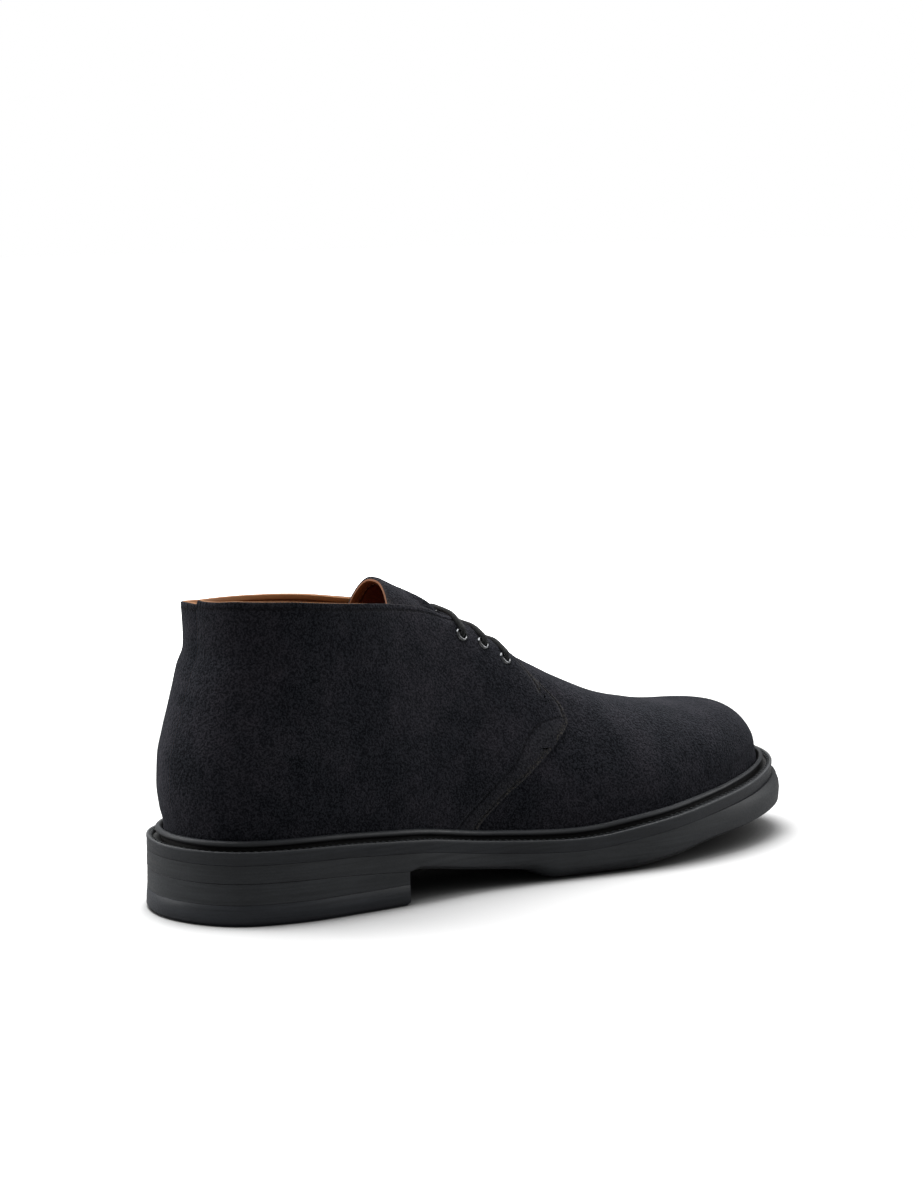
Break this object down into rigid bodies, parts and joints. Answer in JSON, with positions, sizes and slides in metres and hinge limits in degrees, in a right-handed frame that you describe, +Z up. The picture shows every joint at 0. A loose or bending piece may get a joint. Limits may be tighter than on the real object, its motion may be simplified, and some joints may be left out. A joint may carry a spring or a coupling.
{
  "type": "chukka boot",
  "caption": "Right-foot ankle boot in dark suede: open collar, tongue, short lacing on bars, storm welt, full rubber sole with toe spring and a stacked heel.",
  "frame": {"origin": "centre of the boot's box, on the floor plane under heel and ball", "axes": "+X to the toe, +Y to the inner (medial) side of the foot, +Z up"},
  "size_m": [0.3096, 0.1044, 0.123],
  "materials": {
    "suede": "matte napped suede, near-black with a blue cast",
    "lining": "cognac lining leather, satin",
    "sole_rubber": "satin slate-black rubber",
    "metal": "dark plated eyelet, satin",
    "cord": "waxed round lace, near-black"
  },
  "bodies": {
    "root": {"upper": "suede", "insole": "lining", "tongue": "suede", "welt": "sole_rubber", "outsole": "sole_rubber", "heel_lift": "sole_rubber", "heel_top_piece": "sole_rubber", "eyelet_lateral_1": "metal", "eyelet_lateral_2": "metal", "eyelet_lateral_3": "metal", "eyelet_medial_1": "metal", "eyelet_medial_2": "metal", "eyelet_medial_3": "metal", "lace_bar_1": "cord", "lace_bar_2": "cord", "lace_bar_3": "cord"}
  },
  "joints": []
}
